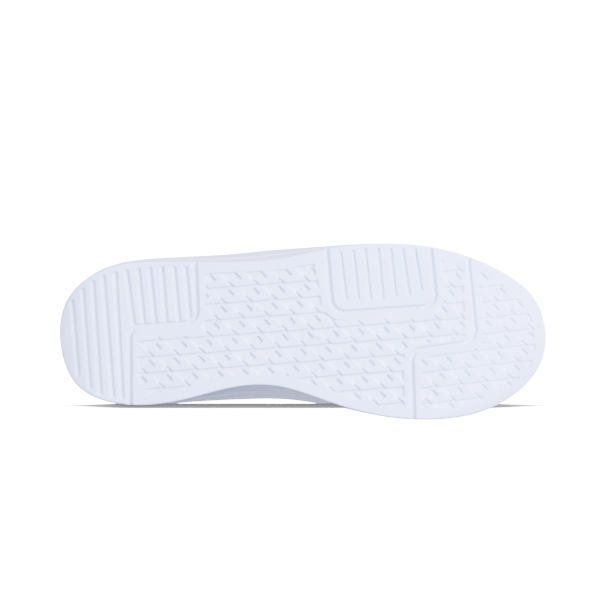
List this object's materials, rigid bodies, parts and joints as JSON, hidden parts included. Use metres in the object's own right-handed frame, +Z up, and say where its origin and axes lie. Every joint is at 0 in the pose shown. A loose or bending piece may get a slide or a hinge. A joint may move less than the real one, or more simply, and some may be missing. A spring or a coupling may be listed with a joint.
{
  "type": "court shoe",
  "caption": "Low-cut right court shoe with a zoned rubber outsole, foam midsole, panelled upper, padded collar and tongue, and straight lacing.",
  "frame": {"origin": "on the ground, under the middle of the shoe's bounding box", "axes": "+X from the heel to the toe, +Y to the inner (medial) side of this right shoe, +Z up"},
  "size_m": [0.3001, 0.1089, 0.1145],
  "materials": {
    "outsole_rubber": "matte moulded rubber, white with a faint lavender tint",
    "midsole_foam": "matte moulded foam, white",
    "stiffener": "plain moulded sheet",
    "insole_board": "needled board",
    "sockliner_fabric": "brushed knit over foam",
    "upper_leather": "smooth white leather with a fine grain",
    "overlay_leather": "smooth white leather, stitched edges",
    "lining_fabric": "fine mesh",
    "padding": "open-cell foam",
    "eyelet_metal": "white lacquer",
    "lace_fabric": "flat woven polyester",
    "aglet_plastic": "clear film over the lace"
  },
  "bodies": {
    "rearfoot": {"outsole": "outsole_rubber", "midsole": "midsole_foam", "shank": "stiffener", "strobel_board": "insole_board", "sockliner": "sockliner_fabric", "vamp": "upper_leather", "vamp_lining": "lining_fabric", "quarter_lateral": "upper_leather", "quarter_medial": "upper_leather", "quarter_lining": "lining_fabric", "collar_foam": "padding", "heel_counter": "stiffener", "foxing_lateral": "overlay_leather", "foxing_medial": "overlay_leather", "heel_tab": "overlay_leather", "eyestay_lateral": "overlay_leather", "eyestay_medial": "overlay_leather", "side_bar_lateral": "overlay_leather", "side_bar_medial": "overlay_leather", "eyelets_lateral": "eyelet_metal", "eyelets_medial": "eyelet_metal", "lace": "lace_fabric", "aglets": "aglet_plastic"},
    "forefoot": {"toe_cap": "overlay_leather", "toe_puff": "stiffener"},
    "tongue": {"tongue_cover": "upper_leather", "tongue_foam": "padding", "tongue_lining": "lining_fabric"}
  },
  "joints": [
    {"name": "ball_flex", "type": "hinge", "parent": "rearfoot", "child": "forefoot", "pos_m": [0.062, 0, 0.008], "axis": [0, -1, 0], "range_deg": [0, 30], "deforming": ["outsole", "midsole", "strobel_board", "sockliner", "vamp", "vamp_lining", "quarter_lateral", "quarter_medial", "quarter_lining", "eyestay_lateral", "eyestay_medial"]},
    {"name": "tongue_hinge", "type": "hinge", "parent": "rearfoot", "child": "tongue", "pos_m": [0.055, 0, 0.057], "axis": [0, -1, 0], "range_deg": [0, 12]}
  ]
}
